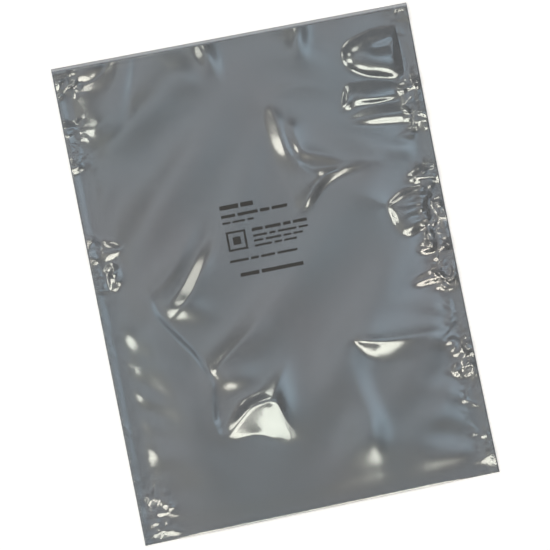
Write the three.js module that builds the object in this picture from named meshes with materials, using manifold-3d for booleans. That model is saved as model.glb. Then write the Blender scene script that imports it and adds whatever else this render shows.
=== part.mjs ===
// Static shielding bag: one web of metallised film, folded across the bottom and welded to itself along both
// sides. It lies empty and nearly flat, with its mouth open towards +Y.
// Lengths are in millimetres. X runs across the bag, Y from the fold to the mouth, Z up from the table.

import * as THREE from "three";
import Module from "manifold-3d";

const wasm = await Module();
wasm.setup();

// The web and its welds
const bagWidth = 228.6;
const bagLength = 307; // over the back panel, from the fold to the lip's edge
const filmThickness = 0.071;
const weldWidth = 9.5; // each side weld, in from the cut edge
const lipHeight = 1.7; // the back panel stands this far past the front one, to open the mouth by
const foldRadius = 0.25; // outside of the bottom fold
const edgeDrawIn = 1.1; // the puckered right-hand edge draws in this much half way along
const weldDrawUp = 4.6; // the puckers make the right-hand weld this much shorter than the left one

// Air between the panels
const airGap = 0.55; // in the middle of the bag
const weldGap = 0.03; // at a weld's inner line, where the panels part
const mouthGap = 0.4;
const weldRun = 40; // distance from a weld, the fold or the mouth over which the gap reaches airGap
const foldRun = 16;
const mouthRun = 22;
const pillowRun = 18; // distance from a weld or the fold over which pillows and waves rise

// The front panel's relief. Every place is given as two percentages: of the way from the bag's middle to its
// side, and of the way from its middle to its mouth.

// Folds: each is a line of places, with the height at which the film is held there.
const folds = [
  // soft sweeps at the upper left
  [[-87, 53, 0.1], [-79, 51, 0], [-55, 59, 0], [-31, 75, 0.1]],
  [[-87, 72, 0.6], [-82, 73, 1], [-77, 75, 1]],
  // the crumple left of the middle
  [[-38, 27, 0.1], [-44, 20, 0.35], [-56, 9, 0.6], [-70, 2, 0.3]],
  [[-33, 21, 0], [-44, 11, 0], [-52, 3, 0], [-59, -3, 0]],
  [[-26, 19, 0.1], [-32, 14, 0.3], [-41, 5, 0.7], [-52, -5, 0.7], [-59, -10, 0.3]],
  [[-71, -1, 0.1], [-70, -8, 0], [-54, -26, 0], [-47, -39, 0.1], [-50, -55, 0.1], [-42, -66, 0.1]],
  [[-42, -66, 0.1], [-33, -68, 0], [-22, -70, 0], [-10, -72, 0]],
  [[-9, -16, 0.1], [-17, -21, 0.4], [-24, -25, 0.6], [-35, -30, 0.7], [-44, -35, 0.4]],
  // the stiff three-cornered fold below it
  [[-3, -36, 0.2], [-9, -43, 0.8], [-13, -48, 1.5], [-14, -51, 1.9]],
  [[-44, -64, 0.3], [-39, -60, 0.9], [-28, -53, 2], [-14, -51, 2], [-10, -65, 0.5], [-7, -70, 0]],
  [[-42, -65, 0.1], [-35, -64, 0], [-24, -65, -0.1], [-17, -68, -0.1]],
  [[-46, -60, 0.1], [-38, -53, 0.3], [-31, -49, 0.6], [-21, -47, 0.9]],
  // the dent right of the middle
  [[10, 66, 0], [10, 55, 0], [10, 46, 0], [13, 36, 0], [17, 25, 0]],
  [[15, 68, 0.5], [17, 62, 1], [18, 55, 1.1], [19, 50, 1], [22, 45, 0.8], [29, 37, 0.7]],
  [[24, 59, 1], [25, 52, 1.1], [35, 45, 0.9], [52, 40, 0.5], [70, 37, 0.2]],
  [[20, 23, 0.2], [26, 28, 0.8], [38, 36, 1], [56, 37, 0.3]],
  [[23, 20, 0], [30, 25, 0], [37, 31, 0], [45, 33, 0], [56, 35, 0]],
  [[10, 64, 0.1], [13, 69, 0.3], [24, 74, 0.45], [39, 73, 0.3], [50, 70, 0.1]],
  // the wedge at the lower right
  [[35, -34, 0.2], [38, -35, 0.6], [48, -36, 1.1], [70, -37, 0.6], [86, -37, 0.2]],
  [[36, -35, 0], [39, -40, -0.1], [44, -43, -0.1], [50, -46, 0], [66, -47, 0]],
  // the crown of the upper right pocket
  [[65, 86, 1.5], [70, 83, 2.1], [76, 82, 2.8], [82, 80, 2.5], [90, 82, 0.7]],
];

// Air pockets that stand along the welds: the rim of each from weld to weld, and how hard the air presses.
const pockets = [
  { rim: [[-92, 92], [-85, 92], [-80, 92], [-74, 94], [-70, 97], [-68, 101], [-92, 101]], push: 0.05 },
  { rim: [[-92, 62], [-88, 63], [-70, 69], [-61, 79], [-52, 101], [-74, 101], [-85, 92]], push: 0.013 },
  { rim: [[-92, 27], [-88, 26], [-81, 24], [-80, 22], [-80, 20], [-87, 18], [-92, 18]], push: 0.09 },
  { rim: [[-92, 17], [-86, 17], [-83, 13], [-82, 10], [-85, 7], [-92, 5]], push: 0.06 },
  { rim: [[92, 69], [85, 70], [73, 72], [64, 76], [59, 81], [61, 87], [70, 90], [92, 92]], push: 0.06 },
  { rim: [[92, 62], [70, 61], [57, 60], [53, 63], [59, 71], [73, 71], [92, 68]], push: 0.018 },
  { rim: [[92, 51], [70, 52], [59, 54], [59, 58], [70, 60], [92, 58]], push: 0.07 },
  { rim: [[92, 7], [86, 6], [78, 4], [73, 7], [69, 14], [70, 20], [79, 23], [92, 24]], push: 0.055 },
  { rim: [[92, 25], [85, 25], [80, 27], [83, 30], [92, 31]], push: 0.12 },
  { rim: [[92, -4], [87, -5], [82, -4], [80, -2], [81, 0], [87, 1], [92, 1]], push: 0.13 },
  { rim: [[92, -16], [87, -17], [77, -17], [73, -16], [76, -14], [86, -12], [92, -11]], push: 0.12 },
  { rim: [[92, -57], [86, -56], [80, -55], [83, -53], [88, -51], [92, -50]], push: 0.12 },
];

// Pillows: soft rises, longer than wide and turned, each with half widths on its left and its right.
const pillows = [
  { middle: [-80, -14], length: 15, left: 6, right: 7, turn: -20, height: 0.35 },
  { middle: [-80, -27], length: 15, left: 6, right: 7, turn: -20, height: 0.4 },
  { middle: [-83, -37], length: 11, left: 5, right: 6, turn: -35, height: 0.45 },
  { middle: [-79, -50], length: 14, left: 6, right: 6, turn: -20, height: 0.3 },
  { middle: [-77, -64], length: 18, left: 7, right: 8, turn: -14, height: 0.45 },
  { middle: [-80, -85], length: 11, left: 8, right: 8, turn: 0, height: 0.3 },
  { middle: [-51, -8], length: 14, left: 6, right: 6, turn: -25, height: 0.5 },
  { middle: [-33, -42], length: 14, left: 6, right: 6, turn: -10, height: 0.45 },
  { middle: [32, -60], length: 26, left: 18, right: 9, turn: 97, height: 0.6 },
  { middle: [32, -76], length: 18, left: 18, right: 8, turn: 85, height: 0.7 },
  { middle: [58, -85], length: 24, left: 9, right: 10, turn: -22, height: 0.35 },
  { middle: [72, -73], length: 22, left: 9, right: 9, turn: 25, height: 0.45 },
  { middle: [-14, 94], length: 12, left: 6, right: 6, turn: 100, height: 0.8 },
  { middle: [38, 96], length: 12, left: 6, right: 6, turn: 80, height: 0.8 },
];

// Waves: long low swells of the film between two places.
const waves = [
  { from: [-84, 61], to: [-28, 87], width: 12, height: 0.75 },
  { from: [-83, 14], to: [-7, 73], width: 14, height: 0.7 },
  { from: [-77, -10], to: [-58, -64], width: 12, height: 0.5 },
  { from: [-54, -49], to: [44, 20], width: 14, height: 0.7 },
  { from: [-26, 10], to: [7, 62], width: 10, height: 0.3 },
  { from: [-7, -70], to: [74, 0], width: 14, height: 0.65 },
  { from: [-77, -60], to: [-48, -85], width: 14, height: 0.3 },
  { from: [48, -65], to: [92, -33], width: 12, height: 0.4 },
  { from: [7, -88], to: [39, -68], width: 13, height: 0.4 },
  { from: [-48, 98], to: [-13, 78], width: 11, height: 0.45 },
  { from: [17, 98], to: [48, 79], width: 11, height: 0.45 },
];

// How the film is pulled tight over its folds
const netSpacing = 2; // finest net
const netLevels = 3; // each coarser net has twice the spacing
const pullRounds = 60;
const foldReach = 11; // a fold is felt this far away
const holdStiffness = 6;
const lineStep = 0.5; // spacing of the points along a fold or a rim

// Puckers that wave each weld strip from its cut edge inwards. Side is -1 on the left and 1 on the right,
// along the percentage of the way from the bag's middle to its mouth.
const puckers = [
  { side: -1, along: 94, span: 16, height: 0.7 },
  { side: -1, along: 73.5, span: 14, height: 0.7 },
  { side: -1, along: 59, span: 12, height: 0.6 },
  { side: -1, along: 22, span: 20, height: 0.7 },
  { side: -1, along: -90, span: 18, height: 0.4 },
  { side: 1, along: 95, span: 14, height: 0.5 },
  { side: 1, along: 67, span: 12, height: 0.5 },
  { side: 1, along: 53, span: 16, height: 0.7 },
  { side: 1, along: 28, span: 16, height: 0.7 },
  { side: 1, along: 10, span: 13, height: 0.7 },
  { side: 1, along: -2, span: 13, height: 0.7 },
  { side: 1, along: -15, span: 14, height: 0.6 },
  { side: 1, along: -47, span: 13, height: 0.6 },
  { side: 1, along: -92, span: 18, height: 0.5 },
];
const puckerReach = 16; // distance in from the cut edge over which a pucker dies away

// Lattice that carries the panels' relief
const weldColumns = [0, 2.5, 5.5, 9, 13, 18, 23.5, 29.5, 36, 43]; // distances in from a weld's inner line
const middleSpacing = 7.5;
const rowSpacing = 5;
const foldFacets = 4; // flats around each quarter turn of the fold

const halfWidth = bagWidth / 2;
const halfLength = bagLength / 2;
const weldLine = halfWidth - weldWidth;
const weldStrip = [halfWidth, halfWidth - weldWidth / 2];
const rows = evenLines(-halfLength + foldRadius, halfLength - lipHeight, rowSpacing);
const percent = 0.01;
const ease = (value, run) => THREE.MathUtils.smoothstep(value, 0, run);

const place = ([across, along]) => [across * percent * halfWidth, along * percent * halfLength];

// Points close together along a smooth line through a fold's or a rim's places.
function smoothLine(places) {
  const points = places.map(([across, along, height = 0]) => {
    return new THREE.Vector3(...place([across, along]), height);
  });
  const curve = new THREE.CatmullRomCurve3(points);
  return curve.getSpacedPoints(Math.ceil(curve.getLength() / lineStep));
}

function isInside(outline, x, y) {
  let inside = false;
  outline.forEach(([ax, ay], i) => {
    const [bx, by] = outline[(i + 1) % outline.length];
    if (ay > y !== by > y && x < ax + ((bx - ax) * (y - ay)) / (by - ay)) inside = !inside;
  });
  return inside;
}

// A net over the front panel between its welds, with a height at each crossing.
function flatNet(spacing) {
  const xs = evenLines(-weldLine, weldLine, spacing);
  const ys = evenLines(-halfLength, halfLength, spacing);
  return { xs, ys, dx: xs[1] - xs[0], dy: ys[1] - ys[0], heights: new Float64Array(xs.length * ys.length) };
}

const crossing = ({ xs, ys }, at) => [xs[at % xs.length], ys[Math.floor(at / xs.length)]];

// The four crossings around a point, each with its share in that point.
function crossingsAround({ xs, ys, dx, dy }, x, y) {
  const u = THREE.MathUtils.clamp((x - xs[0]) / dx, 0, xs.length - 1.001);
  const v = THREE.MathUtils.clamp((y - ys[0]) / dy, 0, ys.length - 1.001);
  const [i, j] = [Math.floor(u), Math.floor(v)];
  const corner = (right, up) => {
    const share = Math.abs(1 - right - u + i) * Math.abs(1 - up - v + j);
    return [(j + up) * xs.length + i + right, share];
  };
  return [corner(0, 0), corner(1, 0), corner(0, 1), corner(1, 1)];
}

function heightOn(net, x, y) {
  return crossingsAround(net, x, y).reduce((sum, [at, share]) => sum + share * net.heights[at], 0);
}

// The film pulled tight over its folds and pushed up in its pockets. Each crossing settles between its four
// neighbours, and sinks back to the flat film away from the folds.
function pulledTight(net) {
  const { xs, ys, dx, dy, heights } = net;
  const hold = new Float64Array(heights.length);
  const grip = new Float64Array(heights.length);
  for (const { x, y, z } of [...folds, ...pockets.map(({ rim }) => [...rim, rim[0]])].flatMap(smoothLine)) {
    if (Math.abs(x) > weldLine - dx || Math.abs(y) > halfLength - dy) continue;
    for (const [at, share] of crossingsAround(net, x, y)) {
      grip[at] += (holdStiffness * share) / dx;
      hold[at] += (holdStiffness * share * z) / dx;
    }
  }
  const outlines = pockets.map(({ rim, push }) => ({ outline: rim.map(place), push }));
  const air = Float64Array.from(heights, (_, at) => {
    const [x, y] = crossing(net, at);
    return outlines.reduce((push, pocket) => (isInside(pocket.outline, x, y) ? pocket.push : push), 0);
  });
  const still = 2 / dx ** 2 + 2 / dy ** 2 + 1 / foldReach ** 2;
  for (let round = 0; round < pullRounds; round++) {
    for (let j = 1; j < ys.length; j++) {
      for (let i = 1; i + 1 < xs.length; i++) {
        const at = j * xs.length + i;
        const below = heights[at - xs.length];
        const above = j + 1 < ys.length ? heights[at + xs.length] : below;
        const pull = (heights[at - 1] + heights[at + 1]) / dx ** 2 + (below + above) / dy ** 2;
        heights[at] = (pull + air[at] + hold[at]) / (still + grip[at]);
      }
    }
  }
  return net;
}

// Settled on a coarse net first, then on finer ones.
function pulledFilm() {
  let film = null;
  for (let level = netLevels - 1; level >= 0; level--) {
    const net = flatNet(netSpacing * 2 ** level);
    if (film) net.heights = net.heights.map((_, at) => heightOn(film, ...crossing(net, at)));
    film = pulledTight(net);
  }
  return film;
}

const film = pulledFilm();

function pillowHeight({ middle, length, left, right, turn, height }, x, y) {
  const [middleX, middleY] = place(middle);
  const away = new THREE.Vector2(x - middleX, y - middleY);
  away.rotateAround(new THREE.Vector2(), THREE.MathUtils.degToRad(-turn));
  return height * Math.exp(-((away.x / length) ** 2) - (away.y / (away.y > 0 ? left : right)) ** 2);
}

// A wave is a pillow that reaches from one place to the other.
function asPillow({ from, to, width, height }) {
  const run = new THREE.Vector2(...place(to)).sub(new THREE.Vector2(...place(from)));
  const middle = from.map((value, i) => (value + to[i]) / 2);
  const turn = THREE.MathUtils.radToDeg(run.angle());
  return { middle, length: run.length() / 2, left: width, right: width, turn, height };
}

const softRises = [...pillows, ...waves.map(asPillow)];

// How far the weld strips and the back panel beside them stand up off what the bag lies on.
function lift(x, y) {
  const fade = 1 - ease(halfWidth - Math.abs(x), puckerReach);
  let height = 0;
  for (const pucker of puckers) {
    const across = (2 * (y - pucker.along * percent * halfLength)) / pucker.span;
    if (pucker.side * x > 0 && Math.abs(across) < 1) height += pucker.height * (1 - across * across) ** 2;
  }
  return height * fade;
}

// Clear height between the two panels.
function gap(x, y) {
  const fromWeld = weldLine - Math.abs(x);
  const fromFold = y + halfLength;
  const fromMouth = halfLength - y;
  if (fromWeld < 0) return 0;
  const foldGap = 2 * (foldRadius - filmThickness);
  const open = THREE.MathUtils.lerp(foldGap, airGap, ease(fromFold, foldRun));
  const middle = THREE.MathUtils.lerp(mouthGap, open, ease(fromMouth, mouthRun));
  const soft = softRises.reduce((height, pillow) => height + pillowHeight(pillow, x, y), 0);
  const relief = heightOn(film, x, y) + soft * ease(fromWeld, pillowRun) * ease(fromFold, pillowRun);
  return Math.max(weldGap, weldGap + (middle - weldGap) * ease(fromWeld, weldRun) + relief);
}

const underside = (x, y) => lift(x, y);
const backInside = (x, y) => lift(x, y) + filmThickness;
const frontOutside = (x, y) => lift(x, y) + gap(x, y) + 2 * filmThickness;

// The front film's inner face, one film thickness in along the surface's normal.
function frontInside(x, y) {
  const step = 0.5;
  const across = (frontOutside(x + step, y) - frontOutside(x - step, y)) / (2 * step);
  const along = (frontOutside(x, y + step) - frontOutside(x, y - step)) / (2 * step);
  const drop = filmThickness * Math.hypot(1, across, along);
  return Math.max(frontOutside(x, y) - drop, backInside(x, y) + weldGap);
}

// Lines evenly placed from one value to another, both included.
function evenLines(from, to, spacing) {
  const count = Math.max(1, Math.round((to - from) / spacing));
  return Array.from({ length: count + 1 }, (_, i) => from + ((to - from) * i) / count);
}

// Columns across the front panel between the welds, close together beside them.
function panelColumns() {
  const beside = weldColumns.map((distance) => weldLine - distance).filter((x) => x > middleSpacing);
  const innermost = beside[beside.length - 1];
  const middle = evenLines(-innermost, innermost, middleSpacing).slice(1, -1);
  return [...beside.map((x) => -x), ...middle, ...beside.toReversed()];
}

// Columns across the back panel, which is flat between its puckers.
function backColumns() {
  const inward = evenLines(weldLine, halfWidth - puckerReach, (puckerReach - weldWidth) / 2);
  return [...inward.map((x) => -x), ...inward.toReversed()];
}

// One section across the bag: a top chain and a bottom chain of points, both from left to right.
function section({ columns, backColumns, top, bottom }, y) {
  return {
    top: columns.map((x) => new THREE.Vector3(...drawnIn(x, y), top(x, y))),
    bottom: backColumns.map((x) => new THREE.Vector3(...drawnIn(x, y), bottom(x, y))),
  };
}

// Sections that round the film over from the back panel to the front one, ahead of the first row.
function foldSections(skin, y, radius) {
  const middle = (x) => (skin.top(x, y) + skin.bottom(x, y)) / 2;
  const half = (x) => (skin.top(x, y) - skin.bottom(x, y)) / 2;
  return Array.from({ length: foldFacets - 1 }, (_, i) => {
    const turn = ((i + 1) / foldFacets) * (Math.PI / 2);
    const rounded = {
      ...skin,
      top: (x) => middle(x) + half(x) * Math.sin(turn),
      bottom: (x) => middle(x) - half(x) * Math.sin(turn),
    };
    return section(rounded, y - radius * Math.cos(turn));
  });
}

// A closed body lofted through sections that follow each other along Y.
function loft(sections) {
  const points = [];
  const faces = [];
  const number = (point) => points.push(point) - 1;
  const chains = sections.map(({ top, bottom }) => ({ top: top.map(number), bottom: bottom.map(number) }));
  const rings = chains.map(({ top, bottom }) => [...top, ...bottom.toReversed()]);
  for (let s = 0; s + 1 < rings.length; s++) {
    const [near, far] = [rings[s], rings[s + 1]];
    for (let i = 0; i < near.length; i++) {
      const next = (i + 1) % near.length;
      faces.push(near[i], near[next], far[next], near[i], far[next], far[i]);
    }
  }
  faces.push(...cap(points, chains[0]), ...cap(points, chains[chains.length - 1]).reverse());
  const geometry = new THREE.BufferGeometry().setFromPoints(points);
  geometry.setIndex(faces);
  return geometry;
}

// Triangles that close one section, stepping along whichever chain is behind.
function cap(points, { top, bottom }) {
  const faces = [];
  let [i, j] = [0, 0];
  while (i + 1 < top.length || j + 1 < bottom.length) {
    const topNext = i + 1 < top.length ? points[top[i + 1]].x : Infinity;
    const bottomNext = j + 1 < bottom.length ? points[bottom[j + 1]].x : Infinity;
    if (topNext < bottomNext) faces.push(top[i], bottom[j], top[++i]);
    else faces.push(top[i], bottom[j], bottom[++j]);
  }
  return faces;
}

// The puckers narrow the right-hand half towards the middle of the bag's length, and draw its ends in.
function drawnIn(x, y) {
  const bow = Math.max(0, 1 - (y / halfLength) ** 2);
  const rightwards = (x / halfWidth + 1) / 2;
  return [x - edgeDrawIn * bow * ease(x, halfWidth), y * (1 - (weldDrawUp / bagLength) * rightwards)];
}

function solid(geometry) {
  const vertProperties = geometry.getAttribute("position").array;
  const triVerts = new Uint32Array(geometry.index.array);
  return new wasm.Manifold(new wasm.Mesh({ numProp: 3, vertProperties, triVerts }));
}

function geometryOf(body) {
  const mesh = body.getMesh();
  const geometry = new THREE.BufferGeometry();
  geometry.setAttribute("position", new THREE.BufferAttribute(new Float32Array(mesh.vertProperties), 3));
  geometry.setIndex(new THREE.BufferAttribute(new Uint32Array(mesh.triVerts), 1));
  geometry.computeVertexNormals();
  return geometry;
}

// The whole bag, before it is hollowed.
function envelope() {
  const skin = {
    columns: [...weldStrip.map((x) => -x), ...panelColumns(), ...weldStrip.toReversed()],
    backColumns: [...weldStrip.map((x) => -x), ...backColumns(), ...weldStrip.toReversed()],
    top: frontOutside,
    bottom: underside,
  };
  return loft([
    ...foldSections(skin, rows[0], foldRadius),
    ...[...rows, halfLength].map((y) => section(skin, y)),
  ]);
}

// The space between the panels, from just inside the fold out through the mouth.
function cavity() {
  const skin = {
    columns: panelColumns(),
    backColumns: backColumns(),
    top: frontInside,
    bottom: backInside,
  };
  return loft([
    ...foldSections(skin, rows[0], foldRadius - filmThickness),
    ...[...rows, halfLength, halfLength + lipHeight].map((y) => section(skin, y)),
  ]);
}

// What is trimmed off the front panel and both welds so that the back panel's lip stands clear.
function lipTrim() {
  const strip = [halfWidth + weldWidth, ...weldStrip];
  const clear = 20;
  const block = {
    columns: [-strip[0], strip[0]],
    backColumns: [...strip.map((x) => -x), ...backColumns(), ...strip.toReversed()],
    top: () => clear,
    bottom: backInside,
  };
  return loft([halfLength - lipHeight, halfLength, halfLength + lipHeight].map((y) => section(block, y)));
}

const body = solid(envelope()).subtract(solid(cavity()).add(solid(lipTrim())));

const metallisedFilm = new THREE.MeshStandardMaterial({
  name: "metallised_film",
  color: 0x70777c,
  roughness: 0.22,
  metalness: 0.85,
});
const bag = new THREE.Mesh(geometryOf(body), metallisedFilm);
bag.name = "shielding_bag";

const staticShieldingBag = new THREE.Group();
staticShieldingBag.add(bag);

export default staticShieldingBag;
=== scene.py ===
import math

import bpy
import numpy as np
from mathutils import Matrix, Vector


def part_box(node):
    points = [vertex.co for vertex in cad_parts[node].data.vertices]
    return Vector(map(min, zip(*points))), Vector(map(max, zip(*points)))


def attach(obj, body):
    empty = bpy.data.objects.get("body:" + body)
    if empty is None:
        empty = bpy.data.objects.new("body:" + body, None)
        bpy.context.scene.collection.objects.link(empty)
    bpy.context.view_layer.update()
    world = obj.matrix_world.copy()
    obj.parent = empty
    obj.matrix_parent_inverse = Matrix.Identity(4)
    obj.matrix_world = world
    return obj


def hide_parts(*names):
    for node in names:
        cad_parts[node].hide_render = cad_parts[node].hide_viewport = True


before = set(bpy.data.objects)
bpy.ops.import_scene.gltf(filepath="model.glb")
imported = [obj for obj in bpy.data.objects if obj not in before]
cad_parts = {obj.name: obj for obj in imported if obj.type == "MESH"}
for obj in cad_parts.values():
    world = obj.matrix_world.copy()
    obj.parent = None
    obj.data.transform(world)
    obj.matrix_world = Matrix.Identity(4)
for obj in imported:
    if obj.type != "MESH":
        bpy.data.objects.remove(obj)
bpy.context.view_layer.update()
bpy.ops.object.select_all(action="DESELECT")
mm = 0.001

# The bag's own sizes, in millimetres; the outline and length come from the frame.
low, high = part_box("shielding_bag")
bagSize = {
    "halfWidth": (high.x - low.x) / 2 / mm,
    "halfLength": (high.y - low.y) / 2 / mm,
    "film": 0.071,  # thickness
    "weld": 9.5,  # side weld, in from the cut edge
    "lip": 1.7,  # back panel past the front one at the mouth
    "foldRadius": 0.25,  # of the bottom fold, outside
    "airGap": 0.55,  # between the panels in the middle
    "mouthGap": 0.4,  # and at the mouth
    "weldRun": 40.0,  # the panels part over this width beside a weld
    "foldRun": 16.0,  # and beside the bottom fold
    "mouthRun": 22.0,  # and close again over this width towards the mouth
    "reliefRun": 18.0,  # the soft shapes start over this width
    "drawIn": 1.1,  # how far the right-hand edge bows in
    "drawUp": 4.6,  # the puckered right-hand weld is this much shorter
}
halfWidth = bagSize["halfWidth"]
halfLength = bagSize["halfLength"]
weldLine = halfWidth - bagSize["weld"]
print("frame loaded:", round(2 * halfWidth, 1), "by", round(2 * halfLength, 1), "mm")

# Folds: lines of points x, y and the height in mm that the film keeps there.
folds = [
    # upper left
    [(-99, 82, 0.1), (-90, 78, 0), (-80, 81, 0), (-63, 90, 0), (-50, 100, 0.05), (-35, 115, 0.1)],
    [(-99, 110.5, 0.6), (-94, 111.5, 1), (-88, 115, 1)],
    # crumple left of the middle
    [(-43, 41, 0.1), (-50, 31, 0.35), (-57, 22, 0.55), (-64, 14, 0.6), (-70, 8, 0.5), (-80, 3, 0.3)],
    [(-30, 29, 0.1), (-37, 21, 0.4), (-42, 14, 0.7), (-47, 7, 0.85), (-54, -3, 0.9), (-60, -8, 0.75),
     (-68, -15, 0.3)],
    [(-38, 33, 0), (-50, 17, 0), (-60, 4, 0), (-68, -4, 0)],
    [(-10, -25, 0.1), (-20, -33, 0.4), (-28, -38, 0.6), (-40, -46, 0.7), (-50, -54, 0.4)],
    [(-81, -2, 0.3), (-80, -12, 0.4), (-72, -25, 0.4), (-62, -40, 0.4), (-58, -50, 0.35), (-54, -60, 0.3),
     (-54, -68, 0.35), (-57, -85, 0.4), (-54, -95, 0.3), (-48, -101, 0.1), (-38, -104.5, 0), (-25, -107, 0),
     (-12, -110, 0)],
    [(-79, -2, 0), (-77, -12, -0.1), (-69, -25, -0.1), (-59, -40, -0.1), (-55, -50, 0), (-51, -60, 0),
     (-51, -68, 0), (-53, -84, 0)],
    # the stiff three-cornered fold
    [(-3, -55, 0.2), (-10, -66, 0.9), (-15, -74, 1.7), (-16, -80, 2.3)],
    [(-50, -98.5, 0.1), (-45, -92.5, 0.65), (-38, -86, 1.4), (-32, -81, 2), (-24, -79, 2.3), (-16, -80, 2.3),
     (-13.5, -90, 1.4), (-11, -99, 0.65), (-8.5, -108, 0)],
    [(-21, -80.5, 2.1), (-20.5, -85, 1.5), (-19.5, -90, 1.2)],
    [(-48, -100, 0.1), (-40, -99, 0), (-33, -98.5, -0.1), (-28, -100, -0.1), (-20, -105, -0.1)],
    [(-53, -92, 0.1), (-44, -82, 0.3), (-36, -75, 0.6), (-24, -72, 0.9)],
    # dent right of the middle
    [(11, 102, 0), (11, 85, 0), (12, 70, 0), (15, 55, 0), (20, 38, 0)],
    [(17, 104, 0.5), (19.5, 95, 1), (20.5, 85, 1.1), (21.5, 76, 1), (25, 69, 0.8)],
    [(21.5, 93, 0.9), (24, 82, 0.8), (27, 72, 0.6)],
    [(28, 90, 1), (29, 80, 1.1), (31, 73, 1.1), (40, 69, 0.9), (50, 65, 0.7), (60, 61, 0.5), (80, 57, 0.2)],
    [(25, 68, 0.8), (33, 57, 0.7), (38, 53, 0.7)],
    [(30, 66, 0.5), (38, 61, 0.4), (52, 58, 0.2)],
    [(23, 36, 0.2), (30, 42.5, 0.8), (36, 49.5, 1), (43, 55, 1), (52, 57.5, 0.7), (64, 57.5, 0.3)],
    [(26, 31, 0), (34, 39, 0), (42, 47, 0), (52, 51, 0), (64, 53, 0)],
    [(12, 99, 0.1), (15, 106, 0.3), (20, 110, 0.4), (27, 113, 0.45), (35, 113.5, 0.4), (45, 112, 0.3),
     (57, 108, 0.1)],
    [(50, 47, 0.1), (65, 37, 0.25), (78, 29, 0.2)],
    # wedge at the lower right
    [(40.5, -52, 0.2), (44, -53, 0.6), (48, -54, 0.9), (55, -56, 1.1), (65, -57, 0.9), (80, -57.5, 0.6),
     (98, -57, 0.2)],
    [(41, -54, 0), (45, -61, -0.1), (50, -66, -0.1), (57, -70, 0), (75, -72, 0)],
    # inside the upper right pockets
    [(87, 137.5, 0.7), (87, 131, 1.2), (90, 128.5, 1.1), (100, 129, 0.8)],
    [(67, 108, 0.3), (76, 99, 0.8), (86, 96, 0.7), (96, 95.5, 0.4)],
    [(66, 105, 0.6), (65, 99, 0.8), (66, 94.5, 0.7)],
    [(80, 29, 0.5), (86, 26.5, 0.8), (92, 26, 0.8), (100, 26.5, 0.5)],
    [(86, 9, 0.5), (88, 15, 0.8), (92, 18, 0.8), (100, 17.5, 0.5)],
]

# Air pockets: outline from weld to weld, and how hard the air presses inside it.
pockets = [
    ([(-105, 141), (-97, 141), (-92, 140.7), (-85, 144), (-80, 149), (-77.5, 154), (-105, 154)], 0.05),
    ([(-105, 95), (-101, 96), (-90, 100), (-80, 105.5), (-74, 113), (-70, 122), (-66, 133), (-62, 145),
      (-60, 154), (-77.5, 154), (-80, 149), (-85, 144), (-92, 140.7), (-105, 141)], 0.013),
    ([(-105, 41), (-101, 40), (-93, 37), (-91, 34), (-92, 31), (-99, 28), (-105, 27)], 0.09),
    ([(-105, 26.5), (-98, 26), (-94.5, 20), (-94, 16), (-97, 10), (-105, 7)], 0.06),
    ([(105, 106), (97, 107), (90, 109), (84, 110.5), (78, 113), (73, 116), (69, 120), (67, 125),
      (68, 130), (70, 133.5), (74, 136), (80, 138), (90, 140), (105, 141)], 0.075),
    ([(105, 94.5), (80, 94), (70, 93.5), (65, 92.5), (60, 91), (61, 96), (64, 101), (67, 109),
      (75, 108.5), (84, 109), (105, 104.5)], 0.018),
    ([(105, 78), (80, 80.5), (72, 82), (67, 83.5), (63, 86), (68, 89), (74, 90.5), (80, 91.5),
      (88, 91.8), (105, 89.5)], 0.07),
    ([(105, 67), (97, 68), (92, 70), (97, 72), (105, 73)], 0.15),
    ([(105, 11), (98, 9), (94, 7.5), (89, 6), (86, 7), (83, 10), (80, 15), (78.5, 22), (77.5, 27), (80, 30.5),
      (85, 34), (90, 36), (105, 37)], 0.075),
    ([(105, 38.5), (97, 39), (92, 41.5), (95, 46), (105, 47)], 0.12),
    ([(105, -6), (99, -7), (94, -6.5), (91, -3.5), (93, -0.5), (99, 1.5), (105, 1.5)], 0.13),
    ([(105, -24), (99, -25.5), (94, -26.5), (88, -26.5), (83, -25), (87, -21), (93, -19), (98, -18),
      (105, -17.5)], 0.12),
    ([(105, -88), (98, -86), (92, -84), (95, -82), (101, -79), (105, -76)], 0.12),
]

# Facets: outlines where the film is stretched flat between its folds.
facets = [
    [(-50, -98.5), (-45, -92.5), (-38, -86), (-32, -81), (-24, -79), (-16, -80), (-13.5, -90), (-8.5, -108),
     (-20, -105), (-33, -98.5)],
]

# Pillows: middle, half length, half width left and right of it, turn in degrees, height.
pillows = [
    (37, -88, 26, 16, 9, 97, 0.5),
    (39.5, -116, 20, 15, 9, 84, 0.6),
    (70, -128, 26, 10, 12, -18, 0.35),
    (82, -110, 22, 9, 9, 25, 0.4),
    (-16, 144, 12, 6, 6, 100, 0.8),
    (43, 147, 12, 6, 6, 80, 0.8),
    (-57, -13, 16, 7, 7, -25, 0.3),
    (-38, -61, 15, 8, 7, -8, 0.42),
]

# Rises run inwards from a weld: side, middle, half width, reach, lean, height.
rises = [
    (-1, 66, 9, 18, 0.5, 0.35),
    (-1, -20, 9, 20, -0.4, 0.5),
    (-1, -39, 9, 20, -0.4, 0.5),
    (-1, -57, 6, 16, -0.6, 0.6),
    (-1, -77, 7, 18, -0.3, 0.4),
    (-1, -97, 10, 22, -0.3, 0.6),
    (-1, -117, 7, 16, 0, 0.35),
    (-1, -134, 8, 16, 0, 0.35),
    (1, -44, 6, 16, 0.3, 0.35),
    (1, -64, 6, 16, 0.2, 0.4),
    (1, -100, 7, 17, 0.3, 0.4),
    (1, -118, 7, 16, 0.2, 0.35),
    (1, -136, 7, 16, 0, 0.3),
    (1, 60, 6, 16, 0.2, 0.35),
]

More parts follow.
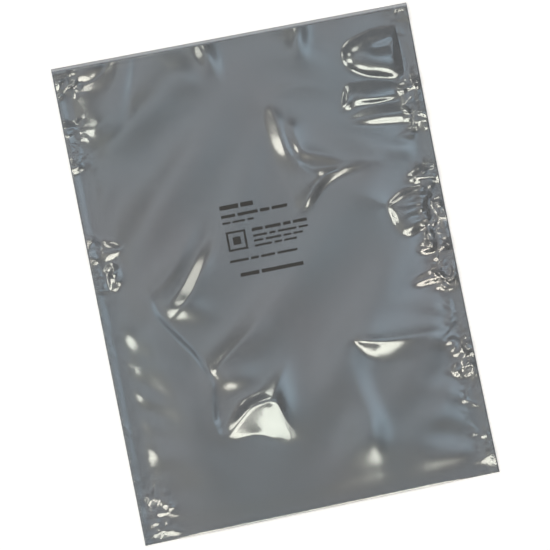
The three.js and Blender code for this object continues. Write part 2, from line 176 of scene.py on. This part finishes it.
# Swells: long soft waves across the front, from and to, half width, height.
swells = [
    ((-96, 94), (-32, 134), 12, 0.75),
    ((-95, 22), (-8, 112), 14, 0.7),
    ((-88, -15), (-66, -98), 12, 0.5),
    ((-62, -75), (50, 30), 14, 0.7),
    ((-30, 15), (8, 95), 10, 0.3),
    ((-8, -108), (85, 0), 14, 0.65),
    ((-88, -92), (-55, -130), 14, 0.3),
    ((55, -100), (105, -50), 12, 0.4),
    ((8, -135), (45, -105), 13, 0.4),
    ((-55, 150), (-15, 120), 11, 0.45),
    ((20, 150), (55, 122), 11, 0.45),
    ((45, 85), (95, 60), 10, 0.3),
]

# Puckers that wave the welds from the cut edge inwards: side, middle, span, height.
puckers = [
    (-1, 144, 16, 0.7),
    (-1, 113, 14, 0.7),
    (-1, 90.5, 12, 0.6),
    (-1, 34, 20, 0.7),
    (-1, -138, 18, 0.1),
    (1, 146, 14, 0.5),
    (1, 103, 12, 0.5),
    (1, 81, 16, 0.7),
    (1, 43, 16, 0.7),
    (1, 15, 13, 0.7),
    (1, -3, 13, 0.7),
    (1, -23, 14, 0.6),
    (1, -72, 13, 0.6),
    (1, -141, 18, 0.5),
]

weldWave = {
    "puckerRun": 16.0,  # a pucker runs out this far from the cut edge, mm
    "curl": 0.28,  # how far the cut edges stand up
    "curlRun": 7.0,
}
riseShape = {"start": 12.0, "fall": 1.5}  # width in which a rise starts, mm, and how sharply it runs out

# Crinkles: stretches of the welds left crumpled, each from one corner to the other, how many, height.
crinkles = {
    "zones": [
        ((99, -31), (113, 50), 260, 0.2),
        ((100, 72), (113, 106), 110, 0.18),
        ((100, -88), (113, -64), 80, 0.18),
        ((100, 106), (113, 152), 50, 0.11),
        ((100, -60), (113, -31), 30, 0.09),
        ((101, -152), (113, -88), 60, 0.1),
        ((-112, 134), (-98, 152), 60, 0.15),
        ((-112, 86), (-99, 120), 70, 0.11),
        ((-112, 8), (-99, 44), 60, 0.12),
        ((-112, -60), (-100, 6), 24, 0.05),
        ((-112, -126), (-100, -60), 24, 0.05),
        ((-108, -150), (-93, -122), 80, 0.12),
    ],
    "length": (1.3, 4.0),  # half length of one crinkle, mm
    "width": (0.8, 1.3),
    "share": (0.4, 1.4),  # of the height given for the stretch
    "margin": 6,  # nothing of a crinkle is felt this far outside its stretch, mm
    "turn": 38,  # degrees off straight across the weld
    "seed": 7,
}

filmPull = {
    "step": 1.0,  # spacing of the fine net, mm
    "sag": 11.0,  # how far a fold is felt, mm
    "hardPush": 0.025,  # pockets blown up harder than this are flat on top
    "hardSag": 5.5,  # the sag inside those
    "grip": 6.0,  # how firmly a fold holds the film
    "rounds": 60,
    "softening": 1,  # times the settled net is smoothed
}


def ease(value, run):
    # from 0 to 1 over this run, level at both ends
    t = np.clip(value / run, 0, 1)
    return t * t * (3 - 2 * t)


def smoothLine(points, spacing=0.4):
    # a smooth curve through the points, in steps of about this spacing
    p = np.array([points[0], *points, points[-1]], float)
    parts = []
    for a, b, c, d in zip(p, p[1:], p[2:], p[3:]):
        t = np.linspace(0, 1, int(np.hypot(*(c - b)[:2]) / spacing) + 2)[:-1, None]
        parts.append(
            0.5 * (2 * b + (c - a) * t + (2 * a - 5 * b + 4 * c - d) * t**2 + (3 * b - a - 3 * c + d) * t**3)
        )
    return np.vstack([*parts, p[-1:]])


def insideOutline(outline, x, y):
    inside = np.zeros(x.shape, bool)
    for (ax, ay), (bx, by) in zip(outline, outline[1:] + outline[:1]):
        if ay != by:
            inside ^= ((ay > y) != (by > y)) & (x < (bx - ax) * (y - ay) / (by - ay) + ax)
    return inside


def netLines(step):
    columns = int(round(2 * weldLine / step)) + 1
    rows = int(round(2 * halfLength / step)) + 1
    return np.linspace(-weldLine, weldLine, columns), np.linspace(-halfLength, halfLength, rows)


def relaxed(step, height):
    # the film pulled tight over its folds and blown up in its pockets, on a net of one spacing,
    # settled from this height or from flat
    xs, ys = netLines(step)
    x, y = np.meshgrid(xs, ys)
    dx, dy = xs[1] - xs[0], ys[1] - ys[0]
    hold, weight = np.zeros(x.shape), np.zeros(x.shape)
    rims = [[(a, b, 0) for a, b in outline] for outline, _ in pockets]
    for line in map(smoothLine, folds + rims):
        inBag = (np.abs(line[:, 0]) < weldLine - dx) & (np.abs(line[:, 1]) < halfLength - dy)
        line = line[inBag]
        u, v = (line[:, 0] - xs[0]) / dx, (line[:, 1] - ys[0]) / dy
        i, j = np.floor(u).astype(int), np.floor(v).astype(int)
        for di in (0, 1):
            for dj in (0, 1):
                part = np.abs(1 - di - (u - i)) * np.abs(1 - dj - (v - j)) / step
                np.add.at(weight, (j + dj, i + di), part)
                np.add.at(hold, (j + dj, i + di), part * line[:, 2])
    air = np.zeros(x.shape)
    for outline, push in pockets:
        air[insideOutline(outline, x, y)] = push
    if height is None:
        height = np.zeros(x.shape)
    sink = np.full(x.shape, 1 / filmPull["sag"] ** 2)
    sink[air > filmPull["hardPush"]] = 1 / filmPull["hardSag"] ** 2
    for outline in facets:
        sink[insideOutline(outline, x, y)] = 0
    grip = filmPull["grip"]
    base = 2 / dx**2 + 2 / dy**2 + sink + grip * weight
    evenOdd = (np.arange(len(ys))[:, None] + np.arange(len(xs))) & 1
    for _ in range(filmPull["rounds"]):
        for parity in (0, 1):
            pull = np.zeros(x.shape)
            pull[:, 1:-1] += (height[:, :-2] + height[:, 2:]) / dx**2
            pull[1:-1] += (height[:-2] + height[2:]) / dy**2
            pull[-1] += 2 * height[-2] / dy**2
            fresh = (pull + air + grip * hold) / base
            fresh[:, 0] = fresh[:, -1] = 0
            fresh[0] = 0
            height = np.where(evenOdd == parity, fresh, height)
    return xs, ys, height


def sample(xs, ys, grid, x, y):
    # height of a net at any points, straight between its nodes
    u = np.clip((x - xs[0]) / (xs[1] - xs[0]), 0, len(xs) - 1.001)
    v = np.clip((y - ys[0]) / (ys[1] - ys[0]), 0, len(ys) - 1.001)
    i, j = u.astype(int), v.astype(int)
    fu, fv = u - i, v - j
    top = grid[j, i] * (1 - fu) + grid[j, i + 1] * fu
    return top * (1 - fv) + (grid[j + 1, i] * (1 - fu) + grid[j + 1, i + 1] * fu) * fv


def pulledFilm():
    # settled from a coarse net to the fine one, each starting from the last
    settled = None
    for factor in (8, 4, 2, 1):
        step = filmPull["step"] * factor
        start = settled and sample(*settled, *np.meshgrid(*netLines(step)))
        settled = relaxed(step, start)
    xs, ys, grid = settled
    for _ in range(filmPull["softening"]):
        grid[:, 1:-1] = (grid[:, :-2] + 2 * grid[:, 1:-1] + grid[:, 2:]) / 4
        grid[1:-1] = (grid[:-2] + 2 * grid[1:-1] + grid[2:]) / 4
    return xs, ys, grid


def pillowHeight(pillow, x, y):
    cx, cy, long, left, right, turn, height = pillow
    c, s = math.cos(math.radians(turn)), math.sin(math.radians(turn))
    u, v = (x - cx) * c + (y - cy) * s, (y - cy) * c - (x - cx) * s
    return height * np.exp(-((u / long) ** 2) - (v / np.where(v > 0, left, right)) ** 2)


def swellHeight(swell, x, y):
    (ax, ay), (bx, by), wide, height = swell
    long = math.hypot(bx - ax, by - ay) / 2
    turn = math.degrees(math.atan2(by - ay, bx - ax))
    return pillowHeight(((ax + bx) / 2, (ay + by) / 2, long, wide, wide, turn, height), x, y)


def riseHeight(rise, x, y):
    side, middle, wide, reach, lean, height = rise
    inwards = weldLine - side * x
    runOut = np.exp(-((np.maximum(inwards, 0) / reach) ** riseShape["fall"]))
    profile = ease(inwards, riseShape["start"]) * runOut
    return height * profile * np.exp(-(((y - middle - lean * inwards) / wide) ** 2))


net = pulledFilm()
print("film pulled:", net[2].size, "nodes")


def relief(x, y):
    soft = sum(pillowHeight(p, x, y) for p in pillows) + sum(swellHeight(s, x, y) for s in swells)
    soft *= ease(weldLine - np.abs(x), bagSize["reliefRun"])
    soft += sum(riseHeight(r, x, y) for r in rises)
    return sample(*net, x, y) + soft * ease(y + halfLength, bagSize["reliefRun"])


def crinkleHeight(x, y):
    c = crinkles
    rng = np.random.default_rng(c["seed"])
    height = np.zeros(x.shape)
    m = c["margin"]
    for (x0, y0), (x1, y1), count, rise in c["zones"]:
        near = (x > x0 - m) & (x < x1 + m) & (y > y0 - m) & (y < y1 + m)
        for _ in range(count):
            cx, cy = rng.uniform(x0, x1), rng.uniform(y0, y1)
            long, wide = rng.uniform(*c["length"]), rng.uniform(*c["width"])
            turn, tall = rng.normal(0, c["turn"]), rise * rng.uniform(*c["share"])
            height[near] += pillowHeight((cx, cy, long, wide, wide, turn, tall), x[near], y[near])
    return height


def lift(x, y):
    # how far both panels stand up together along the welds
    height = np.zeros(x.shape)
    for side, middle, span, rise in puckers:
        across = 2 * (y - middle) / span
        inside = (side * x > 0) & (np.abs(across) < 1)
        height += np.where(inside, rise * (1 - across * across) ** 2, 0)
    fromEdge = halfWidth - np.abs(x)
    curl = weldWave["curl"] * (1 - ease(fromEdge, weldWave["curlRun"]))
    return height * (1 - ease(fromEdge, weldWave["puckerRun"])) + curl + crinkleHeight(x, y)


def gap(x, y):
    # clear height between the panels
    s = bagSize
    fromWeld, fromFold, fromMouth = weldLine - np.abs(x), y + halfLength, halfLength - y
    foldGap = 2 * (s["foldRadius"] - s["film"])
    opened = foldGap + (s["airGap"] - foldGap) * ease(fromFold, s["foldRun"])
    middle = s["mouthGap"] + (opened - s["mouthGap"]) * ease(fromMouth, s["mouthRun"])
    bulge = np.where(fromWeld > 0, relief(x, y), 0)
    return np.maximum(middle * ease(fromWeld, s["weldRun"]) + bulge, 0)


# The web: rows run from the front panel's mouth edge round the fold to the back panel's lip.
webMesh = {
    # column spacing in mm up to each place across the bag, finest over the welds and the folds
    "columns": [(-97.5, 0.95), (-61, 1.8), (-5, 1.25), (9, 2.4), (60, 1.3), (97.5, 1.55), (halfWidth, 0.95)],
    "frontStep": 1.3,  # row spacing down the front panel
    "backStep": 7.0,
    "foldSteps": 8,  # strips round the bottom fold
    "contact": 0.01,  # clearance between the films inside a weld
}


def evenLines(start, end, spacing):
    return np.linspace(start, end, max(2, int(round(abs(end - start) / spacing)) + 1))


def webColumns():
    stretches, start = [], -halfWidth
    for end, spacing in webMesh["columns"]:
        stretches.append(evenLines(start, end, spacing)[:-1])
        start = end
    return np.concatenate([*stretches, [halfWidth]])


def drawnIn(x, y):
    # where the puckers pull a point of the flat bag to
    s = bagSize
    bow = np.clip(1 - (y / halfLength) ** 2, 0, 1)
    shorter = s["drawUp"] / (2 * halfLength) * (x / halfWidth + 1) / 2
    return x - s["drawIn"] * bow * ease(x, halfWidth), y * (1 - shorter)


def frontFace(x, y):
    # height of the front panel's upper face
    return lift(x, y) + gap(x, y) + 2 * bagSize["film"] + webMesh["contact"]


def makeWeb():
    m, s = webMesh, bagSize
    columns = webColumns()
    foldY = -halfLength + s["foldRadius"]
    front = evenLines(halfLength - s["lip"], foldY, m["frontStep"])
    turn = np.linspace(0, math.pi, m["foldSteps"] + 1)[1:-1]
    back = evenLines(foldY, halfLength, m["backStep"])
    rowCount = len(front) + len(turn) + len(back)
    bpy.ops.mesh.primitive_grid_add(
        x_subdivisions=len(columns) - 1, y_subdivisions=rowCount - 1, size=2, location=(0, 0, 0)
    )
    web = bpy.context.object
    web.name = web.data.name = "film_bag"
    co = np.empty(len(web.data.vertices) * 3)
    web.data.vertices.foreach_get("co", co)
    co = co.reshape(-1, 3)
    column = np.rint((co[:, 0] + 1) / 2 * (len(columns) - 1)).astype(int)
    row = np.rint((1 - co[:, 1]) / 2 * (rowCount - 1)).astype(int)
    x = columns[column]
    rowY = np.concatenate([front, np.full(len(turn), foldY), back])
    y = rowY[row]
    frontZ = frontFace(x, y) - 0.5 * s["film"]
    backZ = lift(x, y) + 0.5 * s["film"]
    isFront = row < len(front)
    isBack = row >= len(front) + len(turn)
    angle = np.zeros(len(x))
    inFold = ~(isFront | isBack)
    angle[inFold] = turn[row[inFold] - len(front)]
    middle, half = (frontZ + backZ) / 2, (frontZ - backZ) / 2
    z = np.where(isFront, frontZ, np.where(isBack, backZ, middle + half * np.cos(angle)))
    y = np.where(inFold, foldY - (s["foldRadius"] - s["film"] / 2) * np.sin(angle), y)
    co = np.stack([*drawnIn(x, y), z], axis=1) * mm
    web.data.vertices.foreach_set("co", co.ravel())
    web.data.update()
    thicken = web.modifiers.new("film thickness", "SOLIDIFY")
    thicken.thickness = s["film"] * mm
    thicken.offset = 0
    bpy.ops.object.modifier_apply(modifier=thicken.name)
    bpy.ops.object.shade_smooth()
    print("web:", len(web.data.polygons), "faces")
    return web


# Colours are sRGB hex values, turned to linear here.
def linear(hexColour):
    parts = [int(hexColour[i : i + 2], 16) / 255 for i in (1, 3, 5)]
    return tuple(c / 12.92 if c <= 0.04045 else ((c + 0.055) / 1.055) ** 2.4 for c in parts) + (1.0,)


def addNode(tree, kind, links=None, values=None, **settings):
    node = tree.nodes.new(kind)
    for name, value in settings.items():
        setattr(node, name, value)
    for name, value in (values or {}).items():
        node.inputs[name].default_value = value
    for name, source in (links or {}).items():
        tree.links.new(source, node.inputs[name])
    return node


def newMaterial(name):
    material = bpy.data.materials.new(name)
    material.use_nodes = True
    material.node_tree.nodes.clear()
    return material, material.node_tree


def patterned(tree, scale, shades, values=None):
    # a tint that drifts between two shades in a noise of this scale, per metre
    place = addNode(tree, "ShaderNodeTexCoord").outputs["Object"]
    noise = addNode(tree, "ShaderNodeTexNoise", {"Vector": place}, {"Scale": scale, **(values or {})})
    shades = {6: linear(shades[0]), 7: linear(shades[1])}
    tint = addNode(tree, "ShaderNodeMix", {"Factor": noise.outputs["Fac"]}, shades, data_type="RGBA")
    return tint.outputs[2]


filmLook = {
    "shades": ("#68747b", "#737276"),  # bluish grey to purplish grey
    "patch": 70.0,  # mm across the faint zones of the aluminium coating
    "roughness": 0.09,
    "alpha": 0.36,
}


def metallisedFilm():
    # aluminium-coated polyester film, laminated: a dim grey mirror that half lets through what lies behind
    material, tree = newMaterial("metallised polyester film")
    look = filmLook
    tint = patterned(tree, 1 / (look["patch"] * mm), look["shades"], {"Detail": 1.0, "Roughness": 0.4})
    values = {"Metallic": 1.0, "Roughness": look["roughness"], "Alpha": look["alpha"]}
    film = addNode(tree, "ShaderNodeBsdfPrincipled", {"Base Color": tint}, values)
    addNode(tree, "ShaderNodeOutputMaterial", {"Surface": film.outputs[0]})
    return material


# The print on the front panel: rows of plain bars beside a framed square.
inkPrint = {
    "rows": [  # left end and middle height in mm, bar height, and the lengths of the bars with their gaps
        ((-27, 46.5), 2.8, (12, 8)),
        ((-27, 40.8), 2.0, (9, 13, 6, 10)),
        ((-27, 36.6), 1.3, (5, 8, 4)),
        ((-9.5, 29.6), 2.0, (7, 10, 5, 9)),
        ((-9.5, 25.6), 1.3, (9, 4, 12, 6)),
        ((-9.5, 22.4), 1.3, (6, 10, 5, 6)),
        ((-9.5, 19.2), 1.3, (11, 5, 8)),
        ((-27, 12.0), 1.5, (12, 5, 9, 13)),
        ((-22, 2.6), 2.4, (12, 27)),
    ],
    "barGap": 1.5,
    "frame": (-20.0, 24.6, 12.5, 1.3),  # middle, side and line width of the framed square
    "square": 5.0,
    "clear": 0.1,  # keeps the frame's bars from touching
    "cell": 1.5,  # mesh spacing, so that the bars follow the film
    "ink": 0.012,  # thickness
    "lift": 0.02,  # middle of the ink above the film
    "shades": ("#141518", "#24262a"),
    "mottle": 1.2,  # mm
    "roughness": 0.45,
}


def printBar(x, y, length, height):
    # one bar as a flat grid, by its middle
    cell = inkPrint["cell"]
    bpy.ops.mesh.primitive_grid_add(
        x_subdivisions=max(1, round(length / cell)), y_subdivisions=max(1, round(height / cell)), size=1
    )
    bar = bpy.context.object
    bar.scale = (length * mm, height * mm, 1)
    bar.location = (x * mm, y * mm, 0)
    bpy.ops.object.transform_apply(location=True, rotation=False, scale=True)
    return bar


def makePrint():
    p = inkPrint
    bars = []
    for (left, middle), height, lengths in p["rows"]:
        for length in lengths:
            bars.append(printBar(left + length / 2, middle, length, height))
            left += length + p["barGap"]
    x, y, side, line = p["frame"]
    reach = (side - line) / 2
    bars += [printBar(x, y + reach, side, line), printBar(x, y - reach, side, line)]
    upright = side - 2 * line - p["clear"]
    bars += [printBar(x - reach, y, line, upright), printBar(x + reach, y, line, upright)]
    bars.append(printBar(x, y, p["square"], p["square"]))
    bpy.ops.object.select_all(action="DESELECT")
    for bar in bars:
        bar.select_set(True)
    bpy.context.view_layer.objects.active = bars[0]
    bpy.ops.object.join()
    marks = bpy.context.object
    marks.name = marks.data.name = "panel_print"
    co = np.empty(len(marks.data.vertices) * 3)
    marks.data.vertices.foreach_get("co", co)
    x, y, _ = co.reshape(-1, 3).T / mm
    co = np.stack([*drawnIn(x, y), frontFace(x, y) + p["lift"]], axis=1) * mm
    marks.data.vertices.foreach_set("co", co.ravel())
    marks.data.update()
    thicken = marks.modifiers.new("ink thickness", "SOLIDIFY")
    thicken.thickness = p["ink"] * mm
    thicken.offset = 0
    bpy.ops.object.modifier_apply(modifier=thicken.name)
    print("print:", len(marks.data.polygons), "faces")
    return marks


def printInk():
    # black ink laid thin by a rubber roller: dark grey with a faint mottle, half matt
    material, tree = newMaterial("flexographic printing ink")
    tint = patterned(tree, 1 / (inkPrint["mottle"] * mm), inkPrint["shades"], {"Detail": 2.0})
    values = {"Roughness": inkPrint["roughness"]}
    ink = addNode(tree, "ShaderNodeBsdfPrincipled", {"Base Color": tint}, values)
    addNode(tree, "ShaderNodeOutputMaterial", {"Surface": ink.outputs[0]})
    return material


web = makeWeb()
web.data.materials.append(metallisedFilm())
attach(web, "root")
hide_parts("shielding_bag")
marks = makePrint()
marks.data.materials.append(printInk())
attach(marks, "root")

# The table: matt white laminate under the bag.
laminate = {
    "side": 12.0,  # m
    "drop": 0.1,  # below the bag, mm
    "shades": ("#fbfbfb", "#ffffff"),
    "grain": 900.0,  # per metre
    "roughness": 0.9,
    "glow": 0.27,
}


def paleTable():
    material, tree = newMaterial("matt white laminate")
    tint = patterned(tree, laminate["grain"], laminate["shades"])
    values = {"Roughness": laminate["roughness"]}
    top = addNode(tree, "ShaderNodeBsdfPrincipled", {"Base Color": tint}, values)
    # a little glow that only the eye sees, which takes the laminate up to the white of the picture's ground
    ray = addNode(tree, "ShaderNodeLightPath").outputs
    seen = ray["Is Camera Ray"]
    for other in (ray["Is Glossy Ray"], ray["Is Transmission Ray"]):
        seen = addNode(tree, "ShaderNodeMath", {0: seen, 1: other}, operation="MAXIMUM").outputs[0]
    glow = addNode(tree, "ShaderNodeMath", {0: seen}, {1: laminate["glow"]}, operation="MULTIPLY")
    shine = addNode(tree, "ShaderNodeEmission", {"Strength": glow.outputs[0]})
    both = addNode(tree, "ShaderNodeAddShader", {0: top.outputs[0], 1: shine.outputs[0]})
    addNode(tree, "ShaderNodeOutputMaterial", {"Surface": both.outputs[0]})
    return material


bpy.ops.object.select_all(action="DESELECT")
bpy.ops.mesh.primitive_plane_add(size=laminate["side"], location=(0, 0, -laminate["drop"] * mm))
table = bpy.context.object
table.name = "table"
table.data.materials.append(paleTable())
print("table laid")

# Camera straight above, turned so the bag lies in the frame as photographed.
camera = {
    "distance": 4.0,  # m
    "roll": -11.24,  # degrees
    "pixelsPerMm": 1.583,
    "frame": 550,  # width of the picture, pixels
    "bagCentre": (275.61, 272.38),  # pixel of the bag's middle
    "sensor": 36.0,  # mm
}
roll = math.radians(camera["roll"])
right = (math.cos(roll), math.sin(roll))
up = (-math.sin(roll), math.cos(roll))
offX = (camera["bagCentre"][0] - camera["frame"] / 2) / camera["pixelsPerMm"] * mm
offY = (camera["frame"] / 2 - camera["bagCentre"][1]) / camera["pixelsPerMm"] * mm
lens = bpy.data.cameras.new("camera")
lens.sensor_width = camera["sensor"]
lens.lens = camera["pixelsPerMm"] / mm * camera["distance"] * camera["sensor"] / camera["frame"]
view = bpy.data.objects.new("camera", lens)
bpy.context.scene.collection.objects.link(view)
view.location = (
    -offX * right[0] - offY * up[0],
    -offX * right[1] - offY * up[1],
    camera["distance"],
)
view.rotation_euler = (0, 0, roll)
bpy.context.scene.camera = view
print("camera set")

# Studio: a pale ceiling patch over the bag, a dim ring round it, pale walls, and small warm lamps.
studio = {
    "cap": 1.0,  # radiance
    "ring": 0.26,
    "wall": 1.2,
    "capEdge": (4.0, 9.0),  # degrees off the vertical
    "wallEdge": (44.0, 60.0),
    "sweep": 0.45,  # the ceiling is brighter towards one side
    "sweepAzimuth": 130,
    "sweepBlend": 0.1,  # how soft the change is, 1 for right across
    "lampDistance": 3.8,  # m
}
warm, cool = "#fff4dc", "#e6f7ff"
# Lamps: azimuth and tilt in degrees, width in m, radiance, then the halo's strength, width and colour.
lamps = [
    (248, 13.5, 0.56, 8.5, 2.0, 5.0, warm),
    (284, 13.5, 0.56, 8.5, 1.8, 5.0, warm),
    (190, 13.5, 0.48, 8.5, 2.0, 5.0, warm),
    (145, 14, 0.32, 6.0, 0.0, 5.0, warm),
    (105, 14, 0.4, 6.0, 1.2, 5.0, warm),
    (8, 8.5, 0.0, 0.0, 2.4, 4.5, cool),  # a halo without a lamp
]


def towards(azimuth, tilt=90.0):
    a, t = math.radians(azimuth), math.radians(tilt)
    return (math.sin(t) * math.cos(a), math.sin(t) * math.sin(a), math.cos(t))


world = bpy.data.worlds.new("studio")
world.use_nodes = True
bpy.context.scene.world = world
tree = world.node_tree
tree.nodes.clear()
direction = addNode(tree, "ShaderNodeTexCoord").outputs["Generated"]
upwards = addNode(tree, "ShaderNodeSeparateXYZ", {"Vector": direction}).outputs["Z"]
fromTop = addNode(tree, "ShaderNodeMath", {0: upwards}, operation="ARCCOSINE").outputs[0]
share = addNode(tree, "ShaderNodeMath", {0: fromTop}, {1: math.pi / 2}, operation="DIVIDE")
ramp = addNode(tree, "ShaderNodeValToRGB", {"Fac": share.outputs[0]})
stops = [
    (studio["capEdge"][0], studio["cap"]),
    (studio["capEdge"][1], studio["ring"]),
    (studio["wallEdge"][0], studio["ring"]),
    (studio["wallEdge"][1], studio["wall"]),
]
ramp.color_ramp.interpolation = "EASE"
while len(ramp.color_ramp.elements) < len(stops):
    ramp.color_ramp.elements.new(0.5)
for element, (angle, level) in zip(ramp.color_ramp.elements, stops):
    element.position = angle / 90
    element.color = (level, level, level, 1)

side = addNode(
    tree,
    "ShaderNodeVectorMath",
    {0: direction},
    {1: towards(studio["sweepAzimuth"])},
    operation="DOT_PRODUCT",
)
sweepRange = {
    "From Min": -studio["sweepBlend"],
    "From Max": studio["sweepBlend"],
    "To Min": 1 - studio["sweep"],
    "To Max": 1 + studio["sweep"],
}
sweep = addNode(
    tree,
    "ShaderNodeMapRange",
    {"Value": side.outputs["Value"]},
    sweepRange,
    interpolation_type="SMOOTHSTEP",
)
glow = addNode(
    tree, "ShaderNodeVectorMath", {0: ramp.outputs["Color"], 1: sweep.outputs[0]}, operation="MULTIPLY"
)
for azimuth, tilt, _, _, strength, width, colour in lamps:
    # soft halo round each lamp: exp(-(angle / width)^2)
    dot = addNode(
        tree, "ShaderNodeVectorMath", {0: direction}, {1: towards(azimuth, tilt)}, operation="DOT_PRODUCT"
    )
    away = addNode(tree, "ShaderNodeMath", {0: dot.outputs["Value"]}, {1: 1.0}, operation="SUBTRACT")
    narrow = 2 / math.radians(width) ** 2
    power = addNode(tree, "ShaderNodeMath", {0: away.outputs[0]}, {1: narrow}, operation="MULTIPLY")
    halo = addNode(tree, "ShaderNodeMath", {0: power.outputs[0]}, operation="EXPONENT")
    tint = [strength * c for c in linear(colour)[:3]]
    tinted = addNode(tree, "ShaderNodeVectorMath", {0: halo.outputs[0]}, {1: tint}, operation="MULTIPLY")
    glow = addNode(tree, "ShaderNodeVectorMath", {0: glow.outputs[0], 1: tinted.outputs[0]}, operation="ADD")
background = addNode(tree, "ShaderNodeBackground", {"Color": glow.outputs[0]})
addNode(tree, "ShaderNodeOutputWorld", {"Surface": background.outputs[0]})

for i, (azimuth, tilt, size, radiance, _, _, colour) in enumerate(lamps):
    if radiance:
        data = bpy.data.lights.new(f"lamp_{i + 1}", "AREA")
        data.shape = "DISK"
        data.size = size
        data.energy = radiance * math.pi * math.pi * (size / 2) ** 2
        data.color = linear(colour)[:3]
        lamp = bpy.data.objects.new(data.name, data)
        bpy.context.scene.collection.objects.link(lamp)
        lamp.location = [studio["lampDistance"] * c for c in towards(azimuth, tilt)]
        lamp.rotation_euler = (math.radians(tilt), 0, math.radians(azimuth + 90))
print("studio lit")

bpy.context.scene.view_settings.view_transform = "Standard"
